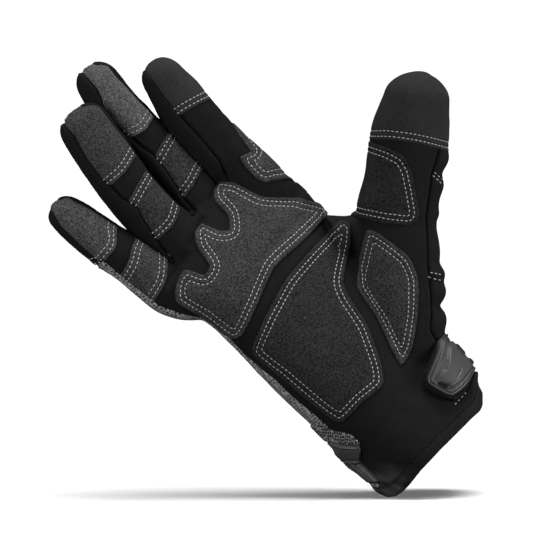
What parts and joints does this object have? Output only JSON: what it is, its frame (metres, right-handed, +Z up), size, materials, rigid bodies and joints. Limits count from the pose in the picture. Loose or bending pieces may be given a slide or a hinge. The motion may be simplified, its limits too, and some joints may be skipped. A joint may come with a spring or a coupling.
{
  "type": "safety glove",
  "caption": "Right-hand work glove held open, black with grey suede palm patches, stitched fingertip patches, a knit back and a rubber wrist tab; hollow at the wrist and in each finger.",
  "frame": {"origin": "centre of the wrist opening, in the plane of the cuff's edge", "axes": "+Y runs from the palm side to the back of the hand, +Z is up, and the fingers lean 42 degrees from +Z towards -X with the thumb towards +X, as the glove is shown"},
  "size_m": [0.2107, 0.0666, 0.2117],
  "materials": {
    "black_leather": "matte black synthetic leather with a fine nap",
    "grey_suede": "mottled dark grey suede",
    "tip_suede": "mottled grey suede, a little lighter",
    "grey_knit": "ribbed grey knit",
    "webbing": "black woven binding",
    "rubber": "satin dark grey moulded rubber"
  },
  "bodies": {
    "root": {"palm_panel": "black_leather", "back_panel": "grey_knit", "thumb_front": "black_leather", "thumb_back": "black_leather", "fourchette_index_middle": "black_leather", "fourchette_middle_ring": "black_leather", "fourchette_ring_little": "black_leather", "cuff_hem": "webbing", "bridge_patch": "grey_suede", "heel_patch": "grey_suede", "thenar_patch": "grey_suede", "thumb_saddle_patch": "grey_suede", "index_side_patch": "grey_suede", "middle_tip_patch": "tip_suede", "middle_pad": "grey_suede", "ring_tip_patch": "tip_suede", "ring_pad": "grey_suede", "little_tip_patch": "tip_suede", "little_pad": "grey_suede", "index_tip_cap": "black_leather", "thumb_tip_cap": "black_leather", "wrist_strap": "webbing", "strap_tab": "rubber", "side_mesh": "grey_knit"}
  },
  "joints": []
}
